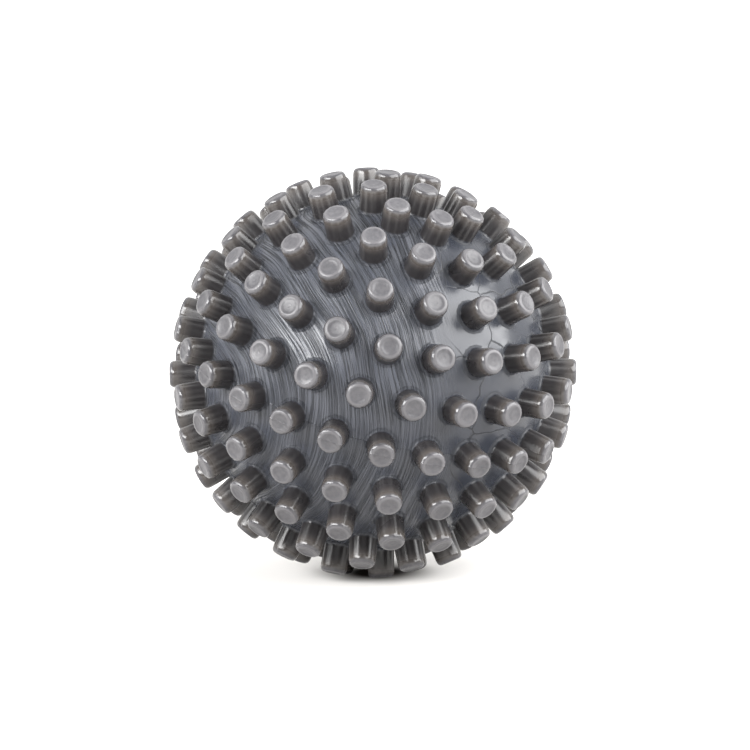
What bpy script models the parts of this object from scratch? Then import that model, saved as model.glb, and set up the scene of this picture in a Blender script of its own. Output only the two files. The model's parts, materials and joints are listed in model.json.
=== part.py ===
"""Nubbed, air-filled friction ball, about 90 mm across, standing on its nubs.

Two frames are used. In the ball's own frame the mould axis is Z, the seam lies in the plane
z = 0, and the ball's centre is the origin. In the world frame the ball stands on its lowest
nubs, +Z is up, and the origin is the point on the floor below the ball's centre.
"""
import math

import bmesh
import bpy
from mathutils import Matrix, Vector

# Skin, in metres and degrees.
SKIN_RADIUS = 0.0387        # ball centre to the skin between the nubs
WALL = 0.0025               # thickness of the skin
AXIS_STRETCH = 1.011        # the moulded ball is slightly longer along its mould axis
SEAM_GAP = 0.0003           # between the two half-shells

# Nubs.
NUB_HEIGHT = 0.0063         # skin to flat top
NUB_ROOT_RADIUS = 0.0031    # where it meets the skin
NUB_TIP_RADIUS = 0.0029     # at the flat top
NUB_SIDES = 8
ROW_PITCH = 15.0            # degrees of latitude from one row to the next
ROW_COUNTS = (24, 22, 20, 16, 12, 7, 1)     # nubs in a row, from the seam to the pole
STAGGERED_ROW = 5           # this row, seven nubs round the pole, starts half a pitch later
LOWER_TURN = 0.97           # the rows below the seam are turned this far about the mould axis

# Rest attitude.
FEET = ((-4, 3), (-5, 2), (-5, 1))          # (row, place) of the three that set the attitude
HEADING = -145.77           # turn about the world's Z, which sets what faces the front
FOOT_SQUASH = 0.0003        # the soft nubs give this much under the ball's weight

# Valve, turned about its own axis. It takes the place of one nub on the far side.
VALVE_PLACE = (1, 15)       # (row, place)
VALVE_SIDES = 24
BORE_RADIUS = 0.0018
SLEEVE_WALL = 0.0016        # round the bore, in the neck and in the sleeve
SLEEVE_LENGTH = 0.0050      # below the inner flange
FLANGE_OVERHANG = 0.0021    # beyond the neck
FLANGE_HEIGHT = 0.0013
HEAD_RADIUS = 0.0027
HEAD_HEIGHT = 0.0008
HEAD_CHAMFER = 0.0003
LIP_RIM = 0.0016            # width of the lip round the recess for the stopper's head
LIP_FLOOR = 0.0005          # thickness of the lip under that recess
PAD_MARGIN = 0.0004         # flat pad on the skin that shows round the lip
STEM_LENGTH = 0.0080
STEM_TAPER = 0.0015         # length of the tapered end of the stem

CLEARANCE = 0.0003          # between pieces that touch
FLANGE_CLEARANCE = 0.0005   # between the inner flange and the curved inside of the skin

COLLECTION_NAME = "friction_ball"
SKIN_COLOUR = (0.085, 0.088, 0.098, 1.0)
GROMMET_COLOUR = (0.045, 0.045, 0.050, 1.0)
STOPPER_COLOUR = (0.020, 0.020, 0.022, 1.0)


# ---------------------------------------------------------------- scene and materials

def empty_scene():
    """Remove every object, and return the collections for the parts and for the cutters."""
    for item in list(bpy.data.objects):
        bpy.data.objects.remove(item, do_unlink=True)
    made = []
    for name in (COLLECTION_NAME, "cutters"):
        group = bpy.data.collections.new(name)
        bpy.context.scene.collection.children.link(group)
        made.append(group)
    return made


def plain_material(name, colour, roughness):
    """A soft plastic or rubber: one colour, no metal."""
    material = bpy.data.materials.new(name)
    material.use_nodes = True
    shader = material.node_tree.nodes["Principled BSDF"]
    shader.inputs["Base Color"].default_value = colour
    shader.inputs["Roughness"].default_value = roughness
    shader.inputs["Metallic"].default_value = 0.0
    material.diffuse_color = colour
    return material


def mesh_object(name, bm, group, parent, material=None):
    """Turn a bmesh into a smooth-shaded object in a collection, under a parent."""
    mesh = bpy.data.meshes.new(name)
    bm.to_mesh(mesh)
    bm.free()
    mesh.shade_smooth()
    mesh.set_sharp_from_angle(angle=math.radians(30))
    item = bpy.data.objects.new(name, mesh)
    group.objects.link(item)
    item.parent = parent
    if material:
        mesh.materials.append(material)
    return item


def frame_empty(name, group, matrix, parent=None):
    """An empty that carries a frame, for the pieces that are built in it."""
    item = bpy.data.objects.new(name, None)
    group.objects.link(item)
    item.parent = parent
    item.matrix_local = matrix
    return item


def as_cutter(item):
    item.hide_render = True
    item.display_type = "WIRE"
    return item


def cut(item, cutter):
    """Take a cutter away from an object, with a live modifier."""
    step = item.modifiers.new("cut_" + cutter.name, "BOOLEAN")
    step.operation = "DIFFERENCE"
    step.object = cutter


# ---------------------------------------------------------------- layout of the nubs

def nub_angles(row, place):
    """Latitude and longitude of a nub, in radians, in the ball's frame."""
    pitch = 360.0 / ROW_COUNTS[abs(row)]
    shift = 0.5 if abs(row) == STAGGERED_ROW else 0.0
    turn = LOWER_TURN if row < 0 else 0.0
    return math.radians(ROW_PITCH * row), math.radians((place + shift) * pitch + turn)


def nub_frame(row, place):
    """Turns a nub that is modelled upright at the centre to its own direction."""
    latitude, longitude = nub_angles(row, place)
    return Matrix.Rotation(longitude, 4, "Z") @ Matrix.Rotation(math.pi / 2 - latitude, 4, "Y")


def nub_places():
    """Every (row, place) of the ball, from the lower pole to the upper one."""
    last_row = len(ROW_COUNTS) - 1
    for row in range(-last_row, last_row + 1):
        for place in range(ROW_COUNTS[abs(row)]):
            yield row, place


def stretched(point):
    """The moulded place of a point that was worked out on a true sphere."""
    return Vector((point.x, point.y, AXIS_STRETCH * point.z))


def ring_height(ring_radius):
    """Height above the centre at which a ring of this radius lies on the skin."""
    return math.sqrt(SKIN_RADIUS ** 2 - ring_radius ** 2)


# ---------------------------------------------------------------- sizes of the valve

def neck_radius():
    return BORE_RADIUS + SLEEVE_WALL


def recess_radius():
    return HEAD_RADIUS + CLEARANCE


def lip_radius():
    return recess_radius() + LIP_RIM


def pad_radius():
    """Flat pad that is moulded into the skin for the valve."""
    return lip_radius() + PAD_MARGIN


def recess_floor():
    """Bottom of the recess in the lip that the stopper's head lies in, above the pad."""
    return CLEARANCE + LIP_FLOOR


def lip_top():
    """The head lies flush with this face."""
    return recess_floor() + CLEARANCE + HEAD_HEIGHT


def flange_radius():
    return neck_radius() + FLANGE_OVERHANG


def flange_top():
    """Height of the inner flange's upper face, just under the curved inside of the skin."""
    inside = math.sqrt((SKIN_RADIUS - WALL) ** 2 - flange_radius() ** 2)
    return inside - ring_height(pad_radius()) - FLANGE_CLEARANCE


# ---------------------------------------------------------------- skin

def add_ring(bm, frame, radius, sides):
    """A circle of vertices that lies on the skin, round the frame's own axis."""
    lift = Matrix.Translation((0, 0, ring_height(radius)))
    return bmesh.ops.create_circle(bm, segments=sides, radius=radius, matrix=frame @ lift)["verts"]


def close_ring(bm, ring):
    """Join the hull's triangles inside a ring into one flat face."""
    corners = set(ring)
    inside = [face for face in ring[0].link_faces if corners.issuperset(face.verts)]
    reached = set(inside)
    while inside:
        face = inside.pop()
        for edge in face.edges:
            for other in edge.link_faces:
                if other not in reached and corners.issuperset(other.verts):
                    reached.add(other)
                    inside.append(other)
    if len(reached) == 1:
        return reached.pop()
    return bmesh.ops.dissolve_faces(bm, faces=list(reached))["region"][0]


def raise_nub(bm, root_face, frame):
    """Draw a nub out of its root face, and taper it to its tip."""
    top = bmesh.ops.extrude_discrete_faces(bm, faces=[root_face])["faces"][0]
    root_height = ring_height(NUB_ROOT_RADIUS)
    taper = NUB_TIP_RADIUS / NUB_ROOT_RADIUS
    rise = Matrix.Translation((0, 0, SKIN_RADIUS + NUB_HEIGHT - root_height))
    draw = frame @ rise @ Matrix.Diagonal((taper, taper, 1, 1)) @ frame.inverted()
    bmesh.ops.transform(bm, matrix=draw, verts=top.verts)


def nubbed_surface():
    """The closed outer surface of the whole ball, in the ball's frame."""
    bm = bmesh.new()
    nubs = []
    for row, place in nub_places():
        frame = nub_frame(row, place)
        if (row, place) == VALVE_PLACE:
            pad = add_ring(bm, frame, pad_radius(), VALVE_SIDES)
        else:
            nubs.append((add_ring(bm, frame, NUB_ROOT_RADIUS, NUB_SIDES), frame))
    bmesh.ops.convex_hull(bm, input=bm.verts)
    close_ring(bm, pad)
    for ring, frame in nubs:
        raise_nub(bm, close_ring(bm, ring), frame)
    bmesh.ops.scale(bm, vec=(1, 1, AXIS_STRETCH), verts=bm.verts)
    bmesh.ops.recalc_face_normals(bm, faces=bm.faces)
    return bm


def cavity_cutter(group, parent):
    """The air space: the skin's inner surface, closed."""
    bm = bmesh.new()
    bmesh.ops.create_uvsphere(bm, u_segments=36, v_segments=18, radius=SKIN_RADIUS - WALL)
    bmesh.ops.scale(bm, vec=(1, 1, AXIS_STRETCH), verts=bm.verts)
    return as_cutter(mesh_object("air_space", bm, group, parent))


def half_cutter(group, parent, side):
    """A block that takes away all that lies on one side of the seam, and half of the gap."""
    size = 3 * (SKIN_RADIUS + NUB_HEIGHT)
    bm = bmesh.new()
    bmesh.ops.create_cube(bm, size=size)
    bmesh.ops.translate(bm, vec=(0, 0, side * (size / 2 - SEAM_GAP / 2)), verts=bm.verts)
    name = "above_seam" if side > 0 else "below_seam"
    return as_cutter(mesh_object(name, bm, group, parent))


def floor_cutter(group):
    """The floor, which flattens the ends of the nubs that the ball stands on."""
    size = SKIN_RADIUS + NUB_HEIGHT
    bm = bmesh.new()
    bmesh.ops.create_cube(bm, size=size)
    bmesh.ops.translate(bm, vec=(0, 0, -size / 2), verts=bm.verts)
    return as_cutter(mesh_object("floor", bm, group, None))


def half_shell(name, surface, group, parent, material, cutters):
    """One bonded half of the skin: the nubbed surface less the air space and the other half."""
    item = mesh_object(name, surface.copy(), group, parent, material)
    for cutter in cutters:
        cut(item, cutter)
    return item


# ---------------------------------------------------------------- rest attitude

def foot_point(row, place):
    """Centre of a nub's flat top, in the ball's frame."""
    latitude, longitude = nub_angles(row, place)
    flat = math.cos(latitude)
    outward = Vector((flat * math.cos(longitude), flat * math.sin(longitude), math.sin(latitude)))
    return stretched(outward) * (SKIN_RADIUS + NUB_HEIGHT)


def standing_turn():
    """Turns the ball so that its three feet point down and its front faces the viewer."""
    first, second, third = [foot_point(row, place) for row, place in FEET]
    down = (second - first).cross(third - first).normalized()
    if down.dot(first) < 0:
        down.negate()
    upright = (-down).rotation_difference(Vector((0, 0, 1))).to_matrix().to_4x4()
    return Matrix.Rotation(math.radians(HEADING), 4, "Z") @ upright


def standing_matrix(surface):
    """From the ball's frame to the world, with the lowest nub pressed on the floor."""
    turn = standing_turn()
    lowest = min((turn @ vertex.co).z for vertex in surface.verts)
    return Matrix.Translation((0, 0, -lowest - FOOT_SQUASH)) @ turn


# ---------------------------------------------------------------- valve

def valve_matrix():
    """The valve's frame in the ball's: its Z is the valve's axis, and z = 0 is the pad's face."""
    frame = nub_frame(*VALVE_PLACE)
    centre = stretched(frame @ Vector((0, 0, ring_height(pad_radius()))))
    outward = (frame @ Vector((0, 0, 1)))
    outward.z /= AXIS_STRETCH
    return Matrix.Translation(centre) @ outward.to_track_quat("Z", "Y").to_matrix().to_4x4()


def turned(name, profile, closed, group, parent, material=None):
    """A turned piece: a profile of (radius, height) points with a Screw modifier."""
    bm = bmesh.new()
    points = [bm.verts.new((radius, 0, height)) for radius, height in profile]
    for start, end in zip(points, points[1:]):
        bm.edges.new((start, end))
    if closed:
        bm.edges.new((points[-1], points[0]))
    item = mesh_object(name, bm, group, parent, material)
    screw = item.modifiers.new("turn", "SCREW")
    screw.steps = VALVE_SIDES
    screw.render_steps = VALVE_SIDES
    screw.use_merge_vertices = True
    screw.merge_threshold = 0.00001
    screw.use_smooth_shade = False
    return item


def valve_grommet(group, parent, material):
    """Lip outside, neck through the skin, flange inside, and a sleeve with the bore."""
    flange_bottom = flange_top() - FLANGE_HEIGHT
    sleeve_bottom = flange_bottom - SLEEVE_LENGTH
    profile = [
        (lip_radius(), lip_top()),
        (lip_radius(), CLEARANCE),
        (neck_radius(), CLEARANCE),
        (neck_radius(), flange_top()),
        (flange_radius(), flange_top()),
        (flange_radius(), flange_bottom),
        (neck_radius(), flange_bottom),
        (neck_radius(), sleeve_bottom),
        (BORE_RADIUS, sleeve_bottom),
        (BORE_RADIUS, recess_floor()),
        (recess_radius(), recess_floor()),
        (recess_radius(), lip_top()),
    ]
    return turned("valve_grommet", profile, True, group, parent, material)


def valve_stopper(group, parent, material):
    """Head that lies flush in the lip, and a stem in the bore. Its origin is on its axis."""
    head_bottom = recess_floor() + CLEARANCE
    stem_radius = BORE_RADIUS - CLEARANCE
    stem_bottom = head_bottom - STEM_LENGTH
    profile = [
        (0, lip_top()),
        (HEAD_RADIUS - HEAD_CHAMFER, lip_top()),
        (HEAD_RADIUS, lip_top() - HEAD_CHAMFER),
        (HEAD_RADIUS, head_bottom),
        (stem_radius, head_bottom),
        (stem_radius, stem_bottom + STEM_TAPER),
        (stem_radius - CLEARANCE, stem_bottom),
        (0, stem_bottom),
    ]
    return turned("valve_stopper", profile, False, group, parent, material)


def valve_hole_cutter(group, parent):
    """Round hole through the skin for the grommet's neck, with the grommet's own corners."""
    radius = neck_radius() + CLEARANCE
    profile = [(0, WALL), (radius, WALL), (radius, -3 * WALL), (0, -3 * WALL)]
    return as_cutter(turned("valve_hole", profile, False, group, parent))


# ---------------------------------------------------------------- assembly

def build():
    parts, cutters = empty_scene()
    skin_material = plain_material("soft_skin", SKIN_COLOUR, 0.4)
    grommet_material = plain_material("valve_rubber", GROMMET_COLOUR, 0.5)
    stopper_material = plain_material("stopper_rubber", STOPPER_COLOUR, 0.5)

    surface = nubbed_surface()
    ball = frame_empty("ball_frame", parts, standing_matrix(surface))
    valve = frame_empty("valve_frame", parts, valve_matrix(), ball)

    air_space = cavity_cutter(cutters, ball)
    above_seam = half_cutter(cutters, ball, 1)
    below_seam = half_cutter(cutters, ball, -1)
    hole = valve_hole_cutter(cutters, valve)
    upper_cuts = [air_space, below_seam]
    lower_cuts = [air_space, above_seam, floor_cutter(cutters)]
    (upper_cuts if VALVE_PLACE[0] > 0 else lower_cuts).append(hole)
    half_shell("upper_half_shell", surface, parts, ball, skin_material, upper_cuts)
    half_shell("lower_half_shell", surface, parts, ball, skin_material, lower_cuts)
    surface.free()

    valve_grommet(parts, valve, grommet_material)
    valve_stopper(parts, valve, stopper_material)


build()
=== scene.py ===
# %% [markdown]
# # A nubbed friction ball, from a fixed frame to a finished render
# The object is a soft, air-filled ball, 90 mm across, with 179 flat-topped nubs and one small
# valve. A watchmaker presses it on a case back and turns it by friction.

# %% Load the frame
import math
import json
import random

import bpy
from mathutils import Matrix, Vector


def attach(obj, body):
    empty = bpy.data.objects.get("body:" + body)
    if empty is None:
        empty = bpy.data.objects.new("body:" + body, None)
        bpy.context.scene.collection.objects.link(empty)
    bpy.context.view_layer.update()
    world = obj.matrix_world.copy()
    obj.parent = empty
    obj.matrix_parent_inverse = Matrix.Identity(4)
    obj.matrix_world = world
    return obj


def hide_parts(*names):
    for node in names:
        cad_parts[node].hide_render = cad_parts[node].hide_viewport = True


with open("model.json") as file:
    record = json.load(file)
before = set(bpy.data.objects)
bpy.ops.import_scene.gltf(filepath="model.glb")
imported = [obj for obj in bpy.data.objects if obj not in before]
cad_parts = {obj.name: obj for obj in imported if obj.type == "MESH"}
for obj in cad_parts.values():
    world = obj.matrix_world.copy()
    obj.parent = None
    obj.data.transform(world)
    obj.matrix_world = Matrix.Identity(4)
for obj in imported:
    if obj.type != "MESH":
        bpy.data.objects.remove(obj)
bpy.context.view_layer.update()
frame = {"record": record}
mounts = {mount["name"]: Vector(mount["pos_m"]) for mount in frame["record"]["mounts"]}

# %% [markdown]
# ## Where the nubs are
# The mould that makes such a ball has an axis, and the nubs lie in rings round it, 15 degrees
# apart: 24 of them on the seam, and fewer towards each pole. So a nub is named by its ring and
# its number in the ring, and two turns carry a nub from the pole to its place. The ball is 1.1%
# longer along the mould axis, and the rings below the seam are turned by one degree.

# %% Sizes and the layout of the rings
MM = 0.001
SKIN_RADIUS = 38.7 * MM
WALL = 2.5 * MM
AXIS_STRETCH = 1.011
NUB_HEIGHT = 6.3 * MM
RING_PITCH = 15.0
RING_COUNTS = (24, 22, 20, 16, 12, 7, 1)
STAGGERED_RING = 5
LOWER_TURN = 0.97
VALVE_NUB = (1, 15)
TOP_NUB = (5, 5)
FEET = ((-4, 3), (-5, 2), (-5, 1))
HEADING = -145.77


def nub_turn(ring, number):
    """Carries a nub that stands on the pole to its own place."""
    step = 360.0 / RING_COUNTS[abs(ring)]
    shift = 0.5 if abs(ring) == STAGGERED_RING else 0.0
    turn = LOWER_TURN if ring < 0 else 0.0
    round_axis = Matrix.Rotation(math.radians((number + shift) * step + turn), 4, "Z")
    from_pole = Matrix.Rotation(math.radians(90 - RING_PITCH * ring), 4, "Y")
    return round_axis @ from_pole


last_ring = len(RING_COUNTS) - 1
nub_names = [(ring, number) for ring in range(-last_ring, last_ring + 1)
             for number in range(RING_COUNTS[abs(ring)]) if (ring, number) != VALVE_NUB]
print(len(nub_names), "nubs and one valve")

# %% [markdown]
# ## How the ball stands
# It stands on the nubs nearest to the floor. Three of them set a plane, and the ball is turned
# until that plane is level. The height of the centre comes from a mount that the engineering
# model states, the flat top of the highest nub.

# %% The rest attitude
STRETCH = Matrix.Diagonal((1, 1, AXIS_STRETCH, 1))


def nub_top(ring, number):
    """Centre of a nub's top, seen from the ball's centre."""
    return STRETCH @ nub_turn(ring, number) @ Vector((0, 0, SKIN_RADIUS + NUB_HEIGHT))


first, second, third = [nub_top(*name) for name in FEET]
down = (second - first).cross(third - first).normalized()
if down.dot(first) < 0:
    down.negate()
level = (-down).rotation_difference(Vector((0, 0, 1))).to_matrix().to_4x4()
stand_turn = Matrix.Rotation(math.radians(HEADING), 4, "Z") @ level
centre = mounts["top_nub"] - stand_turn @ nub_top(*TOP_NUB)
centre.x = centre.y = 0
STAND = Matrix.Translation(centre) @ stand_turn
print("centre of the ball %.2f mm above the floor" % (centre.z / MM))
nub_miss = (STAND @ nub_top(*TOP_NUB) - mounts["top_nub"]).length
print("top nub is %.3f mm from its mount" % (nub_miss / MM))

# %% [markdown]
# ## The camera
# A long lens, 1.3 m away and eight degrees above the level, with a slight roll. It is set by two
# directions, where its own right and back point in the room, and up follows from them. A shift of
# half a millimetre each way centres the view.

# %% Camera
CAMERA_DISTANCE = 1.3165
CAMERA_LENS = 285.6
SHIFT_RIGHT = 0.45 * MM
SHIFT_DOWN = 0.56 * MM
camera_back = Vector((0, -0.98955, 0.14419)).normalized()
camera_right = Vector((0.99983, -0.00265, -0.01816)).normalized()
camera_up = camera_back.cross(camera_right).normalized()
camera_data = bpy.data.cameras.new("camera")
camera_data.lens = CAMERA_LENS
camera_data.sensor_width = 36
camera_data.clip_end = 50
camera = bpy.data.objects.new("camera", camera_data)
bpy.context.scene.collection.objects.link(camera)
camera.matrix_world = Matrix((camera_right, camera_up, camera_back)).transposed().to_4x4()
camera_shift = SHIFT_RIGHT * camera_right - SHIFT_DOWN * camera_up
camera.location = centre + CAMERA_DISTANCE * camera_back + camera_shift
bpy.context.scene.camera = camera
print("camera is at", [round(value, 3) for value in camera.location])

# %% [markdown]
# ## Small helpers
# An operator works on all that is selected, so each step below starts with nothing selected. The
# helpers pick vertices by a test on their place, which is how a person would click them.

# %% Helpers for objects and edit mode


def only(*pieces):
    """Select these objects and nothing else. The first is active."""
    bpy.ops.object.select_all(action="DESELECT")
    for piece in pieces:
        piece.select_set(True)
    bpy.context.view_layer.objects.active = pieces[0]


def named(name):
    """The object that the last operator made, under a new name."""
    piece = bpy.context.object
    piece.name = piece.data.name = name
    return piece


def pick(piece, test):
    """Go to edit mode with just the vertices picked whose place passes the test."""
    only(piece)
    bpy.ops.object.mode_set(mode="EDIT")
    bpy.ops.mesh.select_mode(type="VERT")
    bpy.ops.mesh.select_all(action="DESELECT")
    bpy.ops.object.mode_set(mode="OBJECT")
    for vertex in piece.data.vertices:
        vertex.select = bool(test(vertex.co))
    bpy.ops.object.mode_set(mode="EDIT")


def leave():
    bpy.ops.object.mode_set(mode="OBJECT")


def copy_of(piece, name, matrix):
    """A copy with a mesh of its own, moved by a matrix inside that mesh."""
    twin = bpy.data.objects.new(name, piece.data.copy())
    twin.data.transform(matrix)
    bpy.context.scene.collection.objects.link(twin)
    return twin


def joined(pieces, name):
    only(*pieces)
    bpy.ops.object.join()
    return named(name)


def apply_modifier(piece, kind, **settings):
    """Add a modifier, set it and apply it."""
    only(piece)
    step = piece.modifiers.new(kind.lower(), kind)
    for key, value in settings.items():
        setattr(step, key, value)
    bpy.ops.object.modifier_apply(modifier=step.name)


def drop(piece):
    mesh = piece.data
    bpy.data.objects.remove(piece)
    bpy.data.meshes.remove(mesh)


# %% [markdown]
# ## One nub
# A nub is a soft round peg. Its top has a shallow dish inside a flat ring, its edge is rounded,
# its side tapers so that it leaves the mould, and a small fillet joins it to the skin. It could
# be a cylinder with bevels, but the dish and the fillet ask for rings of their own. So it starts as
# a small disc, and its edge is extruded outwards and down, one ring for each point of the outline.

# %% Outline of the nub, and the nub
NUB_SIDES = 16
ROOT_RADIUS = 3.75 * MM


def skin_height(radius):
    """How far a ring of this radius on the skin lies from the ball's centre."""
    return math.sqrt(SKIN_RADIUS ** 2 - radius ** 2)


def extrude_along(profile):
    """Extrude the selected ring along a profile of radii and heights."""
    for (radius, height), (next_radius, next_height) in zip(profile, profile[1:]):
        bpy.ops.mesh.extrude_edges_move()
        grow = next_radius / radius
        bpy.ops.transform.resize(value=(grow, grow, 1), center_override=(0, 0, height))
        bpy.ops.transform.translate(value=(0, 0, next_height - height))


outline = [(1.05, 6.10), (1.55, 6.15), (1.80, 6.26), (2.02, 6.28), (2.42, 6.18), (2.74, 5.92),
           (2.92, 5.48), (2.99, 4.95), (3.11, 0.70), (3.17, 0.28), (3.30, 0.03), (3.50, -0.11)]
outline = [(radius * MM, SKIN_RADIUS + height * MM) for radius, height in outline]
outline.append((ROOT_RADIUS, skin_height(ROOT_RADIUS)))

bpy.ops.object.select_all(action="DESELECT")
bpy.ops.mesh.primitive_circle_add(vertices=NUB_SIDES, radius=outline[0][0], fill_type="TRIFAN")
nub = named("nub")
bpy.ops.object.mode_set(mode="EDIT")
bpy.ops.mesh.select_all(action="SELECT")
bpy.ops.transform.translate(value=(0, 0, outline[0][1]))
bpy.ops.mesh.select_mode(type="EDGE")
bpy.ops.mesh.select_all(action="DESELECT")
bpy.ops.mesh.select_non_manifold()
extrude_along(outline)
bpy.ops.mesh.select_all(action="SELECT")
bpy.ops.mesh.normals_make_consistent(inside=False)
leave()
if nub.data.polygons[0].normal.z < 0:
    nub.data.flip_normals()
print("one nub has", len(nub.data.polygons), "faces")

# %% [markdown]
# The finishes later need to know where on a nub a point is: how far round it, and how far up. So
# each vertex keeps its place on the nub, in millimetres, as an attribute, and each copy gets a
# number of its own, because no two nubs of a real ball are quite the same shade.

# %% Mark each vertex with its place on the nub
nub.data.attributes.new("nub_place", "FLOAT_VECTOR", "POINT")
nub.data.attributes.new("nub_shade", "FLOAT", "POINT")
places = []
for vertex in nub.data.vertices:
    height = vertex.co.z - skin_height(math.hypot(vertex.co.x, vertex.co.y))
    places += [vertex.co.x / MM, vertex.co.y / MM, height / MM]
nub.data.attributes["nub_place"].data.foreach_set("vector", places)
print("highest place on the nub: %.2f mm above the skin" % max(places[2::3]))

# %% Copy the nub to its 179 places
SHADE_SEED = 7
random.seed(SHADE_SEED)
nub_copies = []
for name in nub_names:
    copy = copy_of(nub, "nub_copy", nub_turn(*name))
    shade = random.random()
    shades = [shade] * len(copy.data.vertices)
    copy.data.attributes["nub_shade"].data.foreach_set("value", shades)
    nub_copies.append(copy)
print(len(nub_copies), "copies of the nub")

# %% [markdown]
# ## The skin between the nubs
# The skin is a sphere with a round hole under each nub. Cutting 180 holes out of a sphere leaves
# long thin faces, so it is wrapped instead: an ico sphere gives evenly spread points, those
# under a nub are deleted, the root ring of each nub is added, and a convex hull joins them all.
# On a sphere that hull is the neatest net there is. The faces inside each ring are then deleted.

# %% Points of the skin
POINT_MARGIN = 0.75 * MM
PAD_RADIUS = 5.0 * MM
PAD_SIDES = 32
SKIN_SUBDIVISIONS = 6

nub_ways = [nub_turn(*name) @ Vector((0, 0, 1)) for name in nub_names]
valve_way = nub_turn(*VALVE_NUB) @ Vector((0, 0, 1))
nub_angle = math.asin((ROOT_RADIUS + POINT_MARGIN) / SKIN_RADIUS)
pad_angle = math.asin((PAD_RADIUS + POINT_MARGIN) / SKIN_RADIUS)


def under_a_nub(place):
    way = place.normalized()
    if way.dot(valve_way) > math.cos(pad_angle):
        return True
    return any(way.dot(nub_way) > math.cos(nub_angle) for nub_way in nub_ways)


bpy.ops.object.select_all(action="DESELECT")
bpy.ops.mesh.primitive_ico_sphere_add(subdivisions=SKIN_SUBDIVISIONS, radius=SKIN_RADIUS)
skin = named("skin")
pick(skin, under_a_nub)
bpy.ops.mesh.delete(type="VERT")
leave()
print(len(skin.data.vertices), "points between the nubs")

# %% Root rings, and the hull round everything
bpy.ops.object.select_all(action="DESELECT")
bpy.ops.mesh.primitive_circle_add(vertices=NUB_SIDES, radius=ROOT_RADIUS)
root_ring = named("root_ring")
root_ring.data.transform(Matrix.Translation((0, 0, skin_height(ROOT_RADIUS))))
bpy.ops.object.select_all(action="DESELECT")
bpy.ops.mesh.primitive_circle_add(vertices=PAD_SIDES, radius=PAD_RADIUS)
pad_ring = named("pad_ring")
pad_ring.data.transform(Matrix.Translation((0, 0, skin_height(PAD_RADIUS))))

rings = [copy_of(root_ring, "ring", nub_turn(*name)) for name in nub_names]
rings.append(copy_of(pad_ring, "ring", nub_turn(*VALVE_NUB)))
skin = joined([skin] + rings, "skin")
drop(root_ring)
drop(pad_ring)
bpy.ops.object.mode_set(mode="EDIT")
bpy.ops.mesh.select_mode(type="VERT")
bpy.ops.mesh.select_all(action="SELECT")
bpy.ops.mesh.delete(type="EDGE_FACE")
bpy.ops.mesh.select_all(action="SELECT")
bpy.ops.mesh.convex_hull(join_triangles=False)
leave()
print("the hull has", len(skin.data.polygons), "faces")

# %% Open the hull under each nub, and set the nubs in
CAP_SHARE = 0.97
WELD_DISTANCE = 0.002 * MM
cap_limit = math.cos(math.asin(CAP_SHARE * ROOT_RADIUS / SKIN_RADIUS))
only(skin)
bpy.ops.object.mode_set(mode="EDIT")
bpy.ops.mesh.select_mode(type="FACE")
bpy.ops.mesh.select_all(action="DESELECT")
leave()
for face in skin.data.polygons:
    way = face.center.normalized()
    face.select = any(way.dot(nub_way) > cap_limit for nub_way in nub_ways)
bpy.ops.object.mode_set(mode="EDIT")
bpy.ops.mesh.delete(type="FACE")
leave()
skin = joined([skin] + nub_copies, "skin")
drop(nub)
bpy.ops.object.mode_set(mode="EDIT")
bpy.ops.mesh.select_mode(type="VERT")
bpy.ops.mesh.select_all(action="SELECT")
bpy.ops.mesh.remove_doubles(threshold=WELD_DISTANCE)
bpy.ops.mesh.select_all(action="SELECT")
bpy.ops.mesh.normals_make_consistent(inside=False)
bpy.ops.mesh.select_all(action="DESELECT")
bpy.ops.mesh.select_non_manifold()
leave()
open_vertices = sum(vertex.select for vertex in skin.data.vertices)
print("skin and nubs:", len(skin.data.polygons), "faces,", open_vertices, "open vertices")

# %% [markdown]
# ## Two halves and the seam
# The ball is moulded in two halves that are bonded together. Between them the real ball shows a
# hair-fine raised line, which also crosses the tops of the 24 nubs on the seam. Two cuts close to
# the seam keep the ridge narrow, the cut at the seam parts the halves, and the cut edge is pushed
# out along its normals by a few hundredths of a millimetre.

# %% Cut the halves apart
SEAM_GAP = 0.03 * MM
RIDGE_WIDTH = 0.16 * MM
RIDGE_RISE = 0.06 * MM
TINY = 0.001 * MM


def half_of(whole, name, side):
    """One half of the ball: side is 1 above the seam and -1 below it."""
    half = copy_of(whole, name, Matrix.Identity(4))
    only(half)
    bpy.ops.object.mode_set(mode="EDIT")
    bpy.ops.mesh.select_all(action="SELECT")
    bpy.ops.mesh.bisect(plane_co=(0, 0, side * RIDGE_WIDTH), plane_no=(0, 0, side),
                        threshold=TINY)
    bpy.ops.mesh.select_all(action="SELECT")
    bpy.ops.mesh.bisect(plane_co=(0, 0, side * SEAM_GAP / 2), plane_no=(0, 0, side),
                        threshold=TINY, clear_inner=True)
    leave()
    pick(half, lambda place: abs(place.z - side * SEAM_GAP / 2) < TINY)
    bpy.ops.transform.shrink_fatten(value=RIDGE_RISE)
    bpy.ops.transform.resize(value=(1, 1, 0), center_override=(0, 0, side * SEAM_GAP / 2))
    bpy.ops.mesh.fill_holes(sides=0)
    leave()
    half.data.transform(STRETCH)
    return half


upper = half_of(skin, "upper_skin", 1)
lower = half_of(skin, "lower_skin", -1)
drop(skin)
print("upper half:", len(upper.data.polygons), "faces, lower half:", len(lower.data.polygons))

# %% [markdown]
# ## The air space and the valve's hole
# The ball is hollow, so each half loses a sphere, and the upper one a round hole for the valve. A
# boolean is right here: both cuts are clean shapes that cross only a few faces.

# %% Hollow the halves
NECK_RADIUS = 3.4 * MM
CLEARANCE = 0.3 * MM
HOLE_DEPTH = 6 * WALL


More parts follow.
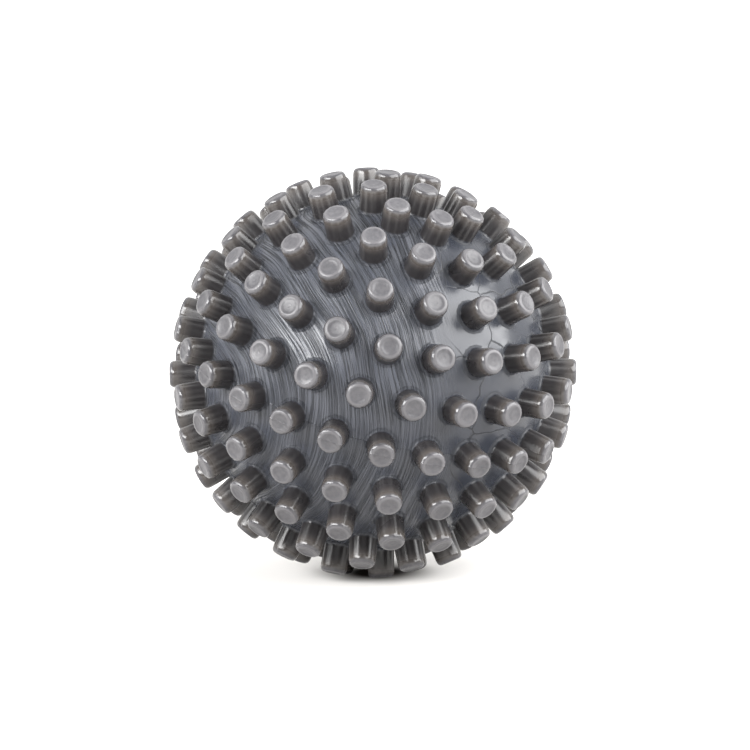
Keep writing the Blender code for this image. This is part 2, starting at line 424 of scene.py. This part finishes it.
def valve_frame():
    """The valve's own place on the ball: its Z points outwards, and its zero is the pad's face."""
    base = STRETCH @ (valve_way * skin_height(PAD_RADIUS))
    way = Vector((valve_way.x, valve_way.y, valve_way.z / AXIS_STRETCH))
    return Matrix.Translation(base) @ way.to_track_quat("Z", "Y").to_matrix().to_4x4()


bpy.ops.object.select_all(action="DESELECT")
bpy.ops.mesh.primitive_uv_sphere_add(segments=64, ring_count=32, radius=SKIN_RADIUS - WALL)
air_space = named("air_space")
air_space.data.transform(STRETCH)
bpy.ops.object.select_all(action="DESELECT")
bpy.ops.mesh.primitive_cylinder_add(vertices=PAD_SIDES, radius=NECK_RADIUS + CLEARANCE,
                                    depth=HOLE_DEPTH)
valve_hole = named("valve_hole")
valve_hole.data.transform(valve_frame())
for half in (upper, lower):
    apply_modifier(half, "BOOLEAN", operation="DIFFERENCE", object=air_space)
apply_modifier(upper, "BOOLEAN", operation="DIFFERENCE", object=valve_hole)
drop(air_space)
drop(valve_hole)
print("hollow halves:", len(upper.data.polygons), "and", len(lower.data.polygons), "faces")

# %% [markdown]
# ## Stand it up
# Now the halves are carried to their place in the room. The nubs under the ball are soft, so
# their ends give way and lie flat on the floor: what would be below the floor is pressed up to it.

# %% Set the halves on the floor
SMOOTH_ANGLE = math.radians(38)
for half in (upper, lower):
    half.data.transform(STAND)
    pick(half, lambda place: place.z < 0)
    bpy.ops.transform.resize(value=(1, 1, 0), center_override=(0, 0, 0))
    leave()
    only(half)
    bpy.ops.object.shade_smooth_by_angle(angle=SMOOTH_ANGLE)
    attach(half, "ball")
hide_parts("upper_half_shell")
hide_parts("lower_half_shell")
print("lowest point %.3f mm" % (min(vertex.co.z for vertex in lower.data.vertices) / MM))

# %% [markdown]
# ## The valve
# A soft bush is pushed through the skin, with a lip outside and a flange inside, and a stopper
# closes its bore. Both are turned shapes, so each outline is spun round the valve's axis, and a
# bevel rounds the corners as a moulding has them.

# %% Outlines of the valve
BORE_RADIUS = 1.8 * MM
SLEEVE_LENGTH = 5.0 * MM
FLANGE_RADIUS = 5.5 * MM
FLANGE_HEIGHT = 1.3 * MM
FLANGE_CLEARANCE = 0.5 * MM
HEAD_RADIUS = 2.7 * MM
LIP_RADIUS = 4.6 * MM
RECESS_RADIUS = 3.0 * MM
RECESS_FLOOR = 0.8 * MM
LIP_TOP = 1.9 * MM
STEM_LENGTH = 8.0 * MM
STEM_RADIUS = 1.5 * MM
STEM_TAPER = 1.5 * MM
HEAD_MIDDLE = 0.9 * MM
VALVE_SIDES = 48

inside_skin = math.sqrt((SKIN_RADIUS - WALL) ** 2 - FLANGE_RADIUS ** 2)
flange_top = inside_skin - skin_height(PAD_RADIUS) - FLANGE_CLEARANCE
flange_bottom = flange_top - FLANGE_HEIGHT
sleeve_bottom = flange_bottom - SLEEVE_LENGTH
grommet_outline = [
    (LIP_RADIUS, CLEARANCE), (LIP_RADIUS, LIP_TOP), (RECESS_RADIUS, LIP_TOP),
    (RECESS_RADIUS, RECESS_FLOOR), (BORE_RADIUS, RECESS_FLOOR), (BORE_RADIUS, sleeve_bottom),
    (NECK_RADIUS, sleeve_bottom), (NECK_RADIUS, flange_bottom), (FLANGE_RADIUS, flange_bottom),
    (FLANGE_RADIUS, flange_top), (NECK_RADIUS, flange_top), (NECK_RADIUS, CLEARANCE)]
head_bottom = RECESS_FLOOR + CLEARANCE
stem_bottom = head_bottom - STEM_LENGTH
stopper_outline = [
    (HEAD_MIDDLE, LIP_TOP), (HEAD_RADIUS, LIP_TOP), (HEAD_RADIUS, head_bottom),
    (STEM_RADIUS, head_bottom), (STEM_RADIUS, stem_bottom + STEM_TAPER),
    (STEM_RADIUS - CLEARANCE, stem_bottom)]
print("valve reaches %.1f mm inside the pad" % (-sleeve_bottom / MM))

# %% Turn an outline into a piece
BEVEL_ANGLE = math.radians(30)
VALVE_SMOOTH_ANGLE = math.radians(50)


def ring_of_edges(name, radius, height, fill):
    bpy.ops.object.select_all(action="DESELECT")
    bpy.ops.mesh.primitive_circle_add(vertices=VALVE_SIDES, radius=radius, fill_type=fill)
    piece = named(name)
    piece.data.transform(Matrix.Translation((0, 0, height)))
    return piece


def turned(name, profile, closed):
    """A ring that is extruded along the outline, then closed on itself or capped."""
    piece = ring_of_edges(name, profile[0][0], profile[0][1], "NOTHING" if closed else "NGON")
    only(piece)
    bpy.ops.object.mode_set(mode="EDIT")
    bpy.ops.mesh.select_mode(type="EDGE")
    bpy.ops.mesh.select_all(action="SELECT")
    extrude_along(profile + profile[:1] if closed else profile)
    if not closed:
        bpy.ops.mesh.edge_face_add()
    bpy.ops.mesh.select_all(action="SELECT")
    bpy.ops.mesh.remove_doubles(threshold=TINY)
    bpy.ops.mesh.normals_make_consistent(inside=False)
    leave()
    return piece


def finish_valve_piece(piece, edge, body, node):
    """Round the corners, carry the piece to its place and say what it stands for."""
    apply_modifier(piece, "BEVEL", width=edge, segments=2, limit_method="ANGLE",
                   angle_limit=BEVEL_ANGLE)
    piece.data.transform(STAND @ valve_frame())
    only(piece)
    bpy.ops.object.shade_smooth_by_angle(angle=VALVE_SMOOTH_ANGLE)
    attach(piece, body)
    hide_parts(node)
    print(piece.name, "has", len(piece.data.polygons), "faces")


# %% Grommet and stopper
GROMMET_EDGE = 0.22 * MM
STOPPER_EDGE = 0.12 * MM
DIMPLE_DEPTH = 0.25 * MM

grommet = turned("grommet", grommet_outline, True)
finish_valve_piece(grommet, GROMMET_EDGE, "ball", "valve_grommet")

stopper = turned("stopper", stopper_outline, False)
pick(stopper, lambda place: place.z > LIP_TOP - TINY and place.xy.length < HEAD_MIDDLE + TINY)
bpy.ops.transform.translate(value=(0, 0, -DIMPLE_DEPTH))
leave()
finish_valve_piece(stopper, STOPPER_EDGE, "stopper", "valve_stopper")

# %% [markdown]
# ## A way to write shader maths
# A node tree is a sum drawn as boxes. One small class wraps a socket, so that the sum can be
# written as a line of Python and adds its own Math nodes. Any other node comes from one method.

# %% The socket class and the node method


class Wire:
    """A socket that can be added, multiplied and compared in Python."""

    def __init__(self, desk, socket):
        self.desk = desk
        self.socket = socket

    def maths(self, operation, *values):
        return self.desk.node("ShaderNodeMath", {"operation": operation}, dict(enumerate(values)))

    def __add__(self, other):
        return self.maths("ADD", self, other)

    def __sub__(self, other):
        return self.maths("SUBTRACT", self, other)

    def __rsub__(self, other):
        return self.maths("SUBTRACT", other, self)

    def __mul__(self, other):
        return self.maths("MULTIPLY", self, other)

    def __truediv__(self, other):
        return self.maths("DIVIDE", self, other)

    __radd__ = __add__
    __rmul__ = __mul__

    def root(self):
        return self.maths("SQRT", self)

    def size(self):
        return self.maths("ABSOLUTE", self)

    def most(self, other):
        return self.maths("MAXIMUM", self, other)

    def step(self, low, high):
        """0 below low and 1 above high, with a smooth way between. Low may be the larger."""
        settings = {"interpolation_type": "SMOOTHSTEP"}
        values = {0: self, 1: low, 2: high, 3: 0.0, 4: 1.0}
        return self.desk.node("ShaderNodeMapRange", settings, values)


class Desk:
    """The node tree of one material or of the world."""

    def __init__(self, owner, shader="Principled BSDF"):
        owner.use_nodes = True
        self.owner = owner
        self.tree = owner.node_tree
        self.shader = self.tree.nodes[shader]

    def plug(self, node, values):
        for key, value in values.items():
            socket = node.inputs[key]
            if isinstance(value, Wire):
                self.tree.links.new(value.socket, socket)
            else:
                socket.default_value = value

    def node(self, kind, settings, values, output=0):
        """Any node: its settings first, then its sockets. Gives one of its outputs."""
        node = self.tree.nodes.new(kind)
        for key, value in settings.items():
            setattr(node, key, value)
        self.plug(node, values)
        return Wire(self, node.outputs[output])

    def split(self, vector):
        """The three parts of a vector."""
        first = self.node("ShaderNodeSeparateXYZ", {}, {0: vector})
        node = first.socket.node
        return [Wire(self, socket) for socket in node.outputs]

    def pack(self, x, y, z):
        return self.node("ShaderNodeCombineXYZ", {}, {0: x, 1: y, 2: z})

    def noise(self, vector, detail=2.0, roughness=0.5):
        values = {"Vector": vector, "Scale": 1.0, "Detail": detail, "Roughness": roughness}
        return self.node("ShaderNodeTexNoise", {}, values)

    def cloud(self, x, y, z, per_mm, detail):
        """Even noise in space, with per_mm lumps to the millimetre."""
        return self.noise(self.pack(x * per_mm, y * per_mm, z * per_mm), detail=detail)

    def mix(self, factor, first, second, blend="MIX"):
        """Mix two colours."""
        settings = {"data_type": "RGBA", "blend_type": blend}
        return self.node("ShaderNodeMix", settings, {0: factor, 6: first, 7: second}, output=2)

    def attribute(self, name, output):
        return self.node("ShaderNodeAttribute", {"attribute_name": name}, {}, output=output)

    def place_mm(self):
        """Where a point of the surface is, in millimetres."""
        place = self.node("ShaderNodeTexCoord", {}, {}, output="Object")
        values = {0: place, "Scale": 1 / MM}
        return self.node("ShaderNodeVectorMath", {"operation": "SCALE"}, values)

    def bump(self, height, depth):
        """A bump from a height of 0 to 1, which is depth metres deep."""
        values = {"Strength": 1.0, "Distance": depth, "Height": height}
        return self.node("ShaderNodeBump", {}, values)


def length(first, second):
    return (first * first + second * second).root()


def dress(piece, desk):
    """Give a piece this one material and no other."""
    piece.data.materials.clear()
    piece.data.materials.append(desk.owner)


# %% [markdown]
# ## The skin's finish
# The ball is soft grey vinyl with a slight shine. Out of the mould it has a fine drawn grain, like
# hair, that sweeps down from the upper left and fades to smooth on the right. The grain is a noise
# that is squeezed across the hair and stretched along it, in bowed coordinates. They come from the
# piece's own coordinates, so the grain needs no map of the surface.

# %% The grain
HAIR_CENTRE_X = -46.0
HAIR_CENTRE_Z = -2.0
HAIRS_PER_MM = 4.0
HAIR_LENGTH = 22.0
DRIFT_PER_MM = 0.045
DRIFT_WIDTH = 4.5
PATCH_PER_MM = 0.12
PATCH_WIDTH = 10.0
LOW_SHARE = 0.6
GROOVE_LEVEL = 0.44

skin_desk = Desk(bpy.data.materials.new("soft_grey_vinyl"))
x, y, z = skin_desk.split(skin_desk.place_mm())
z = z - centre.z / MM

drift = skin_desk.cloud(x, y, z, DRIFT_PER_MM, detail=1.0)
patch = skin_desk.cloud(x, y, z, PATCH_PER_MM, detail=2.0)
from_z = z - HAIR_CENTRE_Z
across = length(x - HAIR_CENTRE_X, from_z) + DRIFT_WIDTH * drift
hair_place = skin_desk.pack(across * HAIRS_PER_MM, from_z / HAIR_LENGTH, y / HAIR_LENGTH)
hair = skin_desk.noise(hair_place, detail=2.0, roughness=0.55)
light_hair = hair.step(0.42, 0.60)
groove = (hair - GROOVE_LEVEL).size().step(0.045, 0.015)
where_high = LOW_SHARE + (1.0 - LOW_SHARE) * z.step(-10.0, 4.0)
where_hairy = (x + PATCH_WIDTH * patch).step(24.0, 14.0) * where_high
print("the grain bows round x %.0f mm, %.0f mm below the centre" % (HAIR_CENTRE_X, -HAIR_CENTRE_Z))

# %% [markdown]
# Where the grain has faded, fine dark creases cross the skin. They are the borders of large,
# uneven cells, bent a little by the same noise that breaks up the grain. Some fade, but each stays
# one long line.

# %% The creases
CELLS_PER_MM = 0.085
CELLS_PER_MM_DEEP = 0.06
CELL_BEND = 0.6
FAINT_CREASE = 0.25
FADE_PER_MM = 0.07
FADE_OFFSET = 9.0

bend = CELL_BEND * patch
cell_place = skin_desk.pack(x * CELLS_PER_MM + bend, y * CELLS_PER_MM_DEEP,
                            z * CELLS_PER_MM - bend)
border = skin_desk.node("ShaderNodeTexVoronoi", {"feature": "DISTANCE_TO_EDGE"},
                        {"Vector": cell_place, "Scale": 1.0}, output="Distance")
fade_place = skin_desk.pack(x * FADE_PER_MM + FADE_OFFSET, y * FADE_PER_MM, z * FADE_PER_MM)
fade = skin_desk.noise(fade_place, detail=0.0).step(0.40, 0.60)
strength = FAINT_CREASE + (1.0 - FAINT_CREASE) * fade
crease = border.step(0.017, 0.005) * strength * x.step(8.0, 20.0)
print("a cell between creases is about %.0f mm wide" % (1 / CELLS_PER_MM))

# %% [markdown]
# On the nubs the kept attributes tell side from top. The sides have faint lines along them, drawn
# by the mould, and the flat tops have pores and, in the middle, a small mark from the mould.

# %% Parts of a nub
nub_x, nub_y, nub_up = skin_desk.split(skin_desk.attribute("nub_place", "Vector"))
nub_shade = skin_desk.attribute("nub_shade", "Fac")
nub_out = length(nub_x, nub_y)
on_nub = nub_up.step(0.1, 0.9)
on_top = nub_up.step(5.2, 6.1)
off_nub = 1.0 - on_nub
at_root = nub_out.step(3.12, 3.30)
gate_mark = nub_out.step(0.45, 0.15)

draw_place = skin_desk.pack(nub_x * 9.0, nub_y * 9.0, nub_up * 0.35 + nub_shade * 30.0)
draw = skin_desk.noise(draw_place, detail=2.0)
turn_place = skin_desk.pack(nub_out * 3.0, nub_shade * 40.0, nub_x * 0.25)
turning = skin_desk.noise(turn_place, detail=1.0)
pores = skin_desk.cloud(x, y, z, 1.3, detail=3.0)
print("masks for the side, the top and the root of a nub")

# %% [markdown]
# The colour is built up from the skin outwards: skin, light hairs, dark grooves, sides that get
# lighter towards the top, a painted shade round the root of each nub, and last the tops, which
# are the lightest, with a painted highlight as a paler ring round the dish. The dark grooves are
# partly the grain's own colour and partly painted shade in them. Each nub's own shade comes over
# all of it.

# %% Colours
SKIN_COLOUR = (0.0240, 0.0270, 0.0355, 1)
SKIN_LIGHT = (0.054, 0.058, 0.071, 1)
GROOVE_AND_ROOT_SHADE = (0.006, 0.007, 0.010, 1)
SIDE_COLOUR = (0.0190, 0.0176, 0.0188, 1)
SIDE_LIGHT = (0.0240, 0.0222, 0.0232, 1)
SIDE_UPPER = (0.0600, 0.0530, 0.0490, 1)
TOP_COLOUR = (0.0520, 0.0508, 0.0560, 1)
TOP_LIGHT = (0.0690, 0.0668, 0.0715, 1)
TOP_RING_HIGHLIGHT = (0.087, 0.084, 0.089, 1)
ROOT_PAINTED_SHADE = 0.45
RIM_RADIUS = 2.2
DARKEST_NUB = 0.88
SHADE_RANGE = 0.24

grooves = (groove * where_hairy).most(crease) * off_nub
colour = skin_desk.mix(light_hair * where_hairy, SKIN_COLOUR, SKIN_LIGHT)
# Dark grooves and creases: partly their own dark colour, partly painted shade in the grooves.
colour = skin_desk.mix(grooves, colour, GROOVE_AND_ROOT_SHADE)
side = skin_desk.mix(draw.step(0.35, 0.65), SIDE_COLOUR, SIDE_LIGHT)
side = skin_desk.mix(nub_up.step(2.8, 5.5), side, SIDE_UPPER)
colour = skin_desk.mix(on_nub, colour, side)
# Painted shade: the skin round each nub's root is darkened, as if shaded by the nub.
colour = skin_desk.mix(at_root * ROOT_PAINTED_SHADE, colour, GROOVE_AND_ROOT_SHADE)
top = skin_desk.mix(pores.step(0.35, 0.65), TOP_COLOUR, TOP_LIGHT)
# Painted highlight: a paler ring on each top, where its raised ring catches the light.
top = skin_desk.mix((nub_out - RIM_RADIUS).size().step(0.45, 0.15), top, TOP_RING_HIGHLIGHT)
colour = skin_desk.mix(on_top, colour, top)
shade = DARKEST_NUB + SHADE_RANGE * nub_shade
grey = skin_desk.node("ShaderNodeCombineColor", {}, {0: shade, 1: shade, 2: shade})
colour = skin_desk.mix(on_nub, colour, skin_desk.mix(1.0, colour, grey, "MULTIPLY"))
print("nub shades run from %.2f to %.2f" % (DARKEST_NUB, DARKEST_NUB + SHADE_RANGE))

# %% [markdown]
# The relief is only what is too fine for the mesh, less than three hundredths of a millimetre deep.
# The rounded edges of the nubs are the smoothest part and shine most, and grooves and roots are
# dull.

# %% Relief and gloss
RELIEF_DEPTH = 0.027 * MM
SKIN_ROUGHNESS = 0.22
VINYL_IOR = 1.5

relief = (light_hair * where_hairy * off_nub - 1.2 * grooves + 0.25 * pores
          + draw * on_nub * (1.0 - on_top) * 0.04 + (0.5 * turning - 0.8 * gate_mark) * on_top)
dull_top = on_top * nub_out.step(2.60, 2.25)
edge = nub_up.step(4.7, 5.3) - dull_top
dark_hair = (1.0 - light_hair) * where_hairy * off_nub
roughness = (SKIN_ROUGHNESS + 0.08 * patch + 0.10 * dull_top - 0.13 * edge + 0.02 * on_nub
             + 0.35 * grooves + 0.15 * dark_hair + 0.40 * at_root)
skin_desk.plug(skin_desk.shader, {
    "Base Color": colour,
    "Roughness": roughness,
    "Normal": skin_desk.bump(relief, RELIEF_DEPTH),
    "IOR": VINYL_IOR,
})
for half in (upper, lower):
    dress(half, skin_desk)
print("skin finish has", len(skin_desk.tree.nodes), "nodes")

# %% [markdown]
# ## The valve's finishes
# The bush and the stopper are darker rubber. A fine noise varies the shine, as handling does.

# %% Valve finishes
GRIT_DEPTH = 0.012 * MM


def rubber(name, colour, light, roughness):
    """Rubber between two colours, with its least roughness."""
    desk = Desk(bpy.data.materials.new(name))
    rubber_x, rubber_y, rubber_z = desk.split(desk.place_mm())
    wear = desk.cloud(rubber_x, rubber_y, rubber_z, 0.9, detail=3.0)
    grit = desk.cloud(rubber_x, rubber_y, rubber_z, 5.0, detail=2.0)
    desk.plug(desk.shader, {
        "Base Color": desk.mix(wear.step(0.35, 0.7), colour, light),
        "Roughness": roughness + 0.12 * wear,
        "Normal": desk.bump(grit, GRIT_DEPTH),
    })
    return desk


dress(grommet, rubber("valve_rubber", (0.05, 0.05, 0.055, 1), (0.07, 0.07, 0.075, 1), 0.4))
dress(stopper, rubber("stopper_rubber", (0.02, 0.02, 0.022, 1), (0.03, 0.03, 0.033, 1), 0.38))
print("valve finishes are on")

# %% [markdown]
# ## Floor and light
# The table is white. It glows a little, so that it stays as white as the room behind it. Close to
# the ball its colour is darker and its glow dimmer, which deepens the contact shadow. That patch is
# paint and not light, and it would have to go if the ball stood elsewhere. The table has no shine,
# because a low view would see the bright room in it, over the shadow.

# %% Floor
FLOOR_SIZE = 12
UNDER_BALL = (0.04, 0.033, 0.029, 1)
OPEN_TABLE = (0.50, 0.490, 0.477, 1)
NEAR_GLOW = (0.42, 0.412, 0.400, 1)
WHITE = (1.0, 1.0, 1.0, 1)
BLACK = (0.0, 0.0, 0.0, 1)

bpy.ops.object.select_all(action="DESELECT")
bpy.ops.mesh.primitive_plane_add(size=FLOOR_SIZE)
floor = named("floor")
floor_desk = Desk(bpy.data.materials.new("white_table"))
floor_x, floor_y, _ = floor_desk.split(floor_desk.place_mm())
from_ball = length(floor_x, floor_y)
lit = from_ball.step(4.0, 16.0)
glow = floor_desk.mix(from_ball.step(45.0, 260.0), NEAR_GLOW, WHITE)
floor_desk.plug(floor_desk.shader, {
    "Base Color": floor_desk.mix(lit, UNDER_BALL, OPEN_TABLE),
    "Emission Color": floor_desk.mix(lit, BLACK, glow),
    "Roughness": 0.7,
    "Specular IOR Level": 0.0,
    "Emission Strength": 0.90,
})
dress(floor, floor_desk)
print("floor is", FLOOR_SIZE, "m across")

# %% [markdown]
# Six soft lights shine on it: a large box on the right and a smaller one on the left, a dim one
# overhead, a dim fill on the left, and a narrow strip on each side, which draws the thin bright
# line along each nub. The room is pale all round, and brighter behind the ball.

# %% Lights


def soft_box(name, way, distance, width, height, power):
    """A rectangular light that looks at the ball from a direction in the camera's own axes."""
    right, up, back = way
    direction = (right * camera_right + up * camera_up + back * camera_back).normalized()
    light = bpy.data.lights.new(name, "AREA")
    light.shape = "RECTANGLE"
    light.size = width
    light.size_y = height
    light.energy = power
    lamp = bpy.data.objects.new(name, light)
    bpy.context.scene.collection.objects.link(lamp)
    lamp.matrix_world = (Matrix.Translation(centre + distance * direction)
                         @ direction.to_track_quat("Z", "Y").to_matrix().to_4x4())


soft_box("right_box", (0.78, 0.49, 0.40), 0.9, 1.35, 0.75, 25)
soft_box("left_box", (-0.66, 0.34, 0.68), 1.0, 0.75, 0.34, 15)
soft_box("top_box", (0.0, 1.0, 0.1), 1.1, 1.0, 1.0, 4)
soft_box("left_fill", (-1.0, 0.58, 0.25), 1.0, 0.50, 0.50, 4)
soft_box("left_strip", (-1.0, 0.15, 0.25), 1.0, 0.06, 0.7, 1.6)
soft_box("right_strip", (1.0, 0.12, -0.1), 1.0, 0.07, 0.7, 1.2)

FRONT_OF_ROOM = 0.48
BACK_OF_ROOM = 0.80
room_desk = Desk(bpy.data.worlds.new("pale_room"), "Background")
room_way = room_desk.node("ShaderNodeTexCoord", {}, {}, output="Generated")
_, to_back, _ = room_desk.split(room_way)
room_desk.plug(room_desk.shader, {
    "Color": WHITE,
    "Strength": FRONT_OF_ROOM + BACK_OF_ROOM * to_back.step(-0.3, 0.7),
})
bpy.context.scene.world = room_desk.owner
bpy.context.scene.view_settings.view_transform = "Standard"
print("six soft lights and a pale room")
